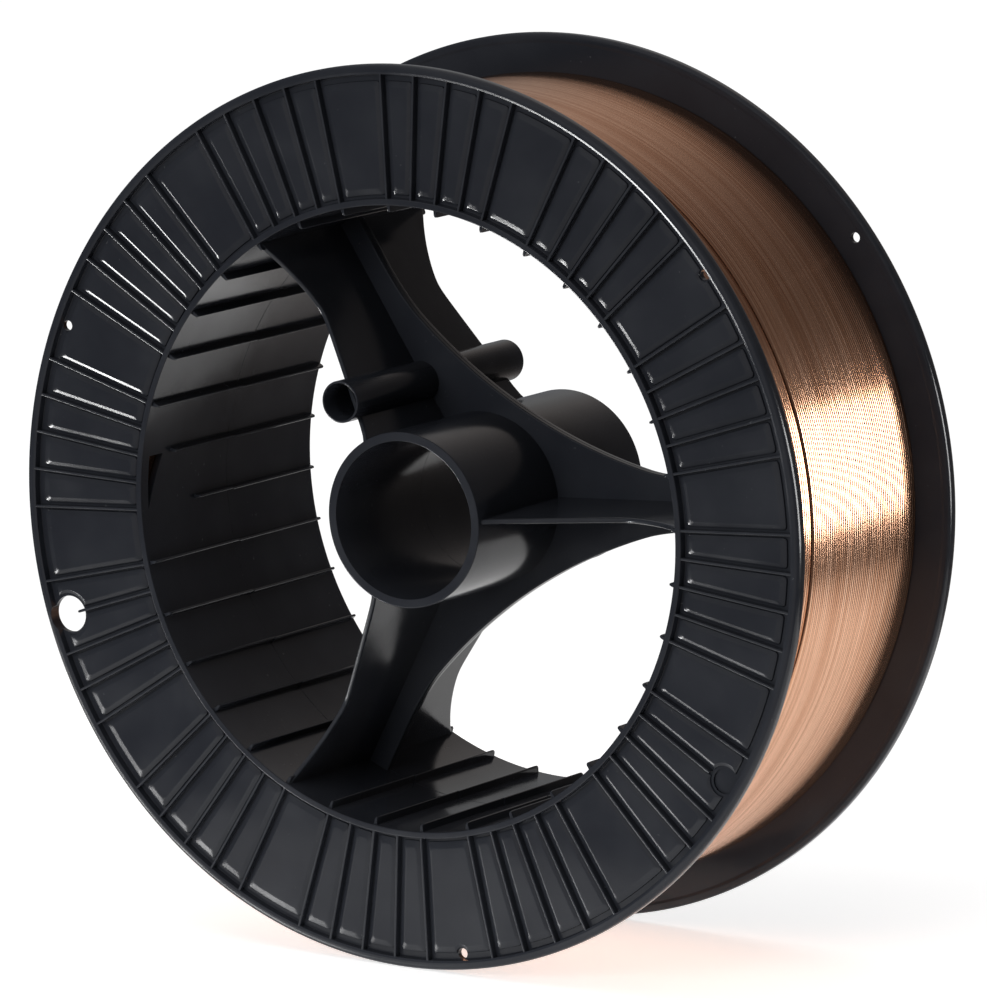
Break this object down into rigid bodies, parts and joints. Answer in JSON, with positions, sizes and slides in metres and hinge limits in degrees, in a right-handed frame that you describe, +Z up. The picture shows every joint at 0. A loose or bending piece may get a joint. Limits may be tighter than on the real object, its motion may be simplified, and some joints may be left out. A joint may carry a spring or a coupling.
{
  "type": "welding wire spool",
  "caption": "Black plastic spool with ribbed flanges, spoked hub and drive pin hole, wound level with copper-coated welding wire.",
  "frame": {"origin": "centre of the spool, on its axis at mid width", "axes": "+Y along the spool's axis towards the rear flange, +Z up, with the spool standing on its two rims; the front flange faces -Y"},
  "size_m": [0.3, 0.103, 0.3],
  "materials": {
    "black_plastic": "satin black moulded plastic",
    "copper_wire": "bright copper-coated steel wire, wound level"
  },
  "bodies": {
    "root": {"spool_half_front": "black_plastic", "spool_half_rear": "black_plastic", "wire_winding": "copper_wire"}
  },
  "joints": []
}
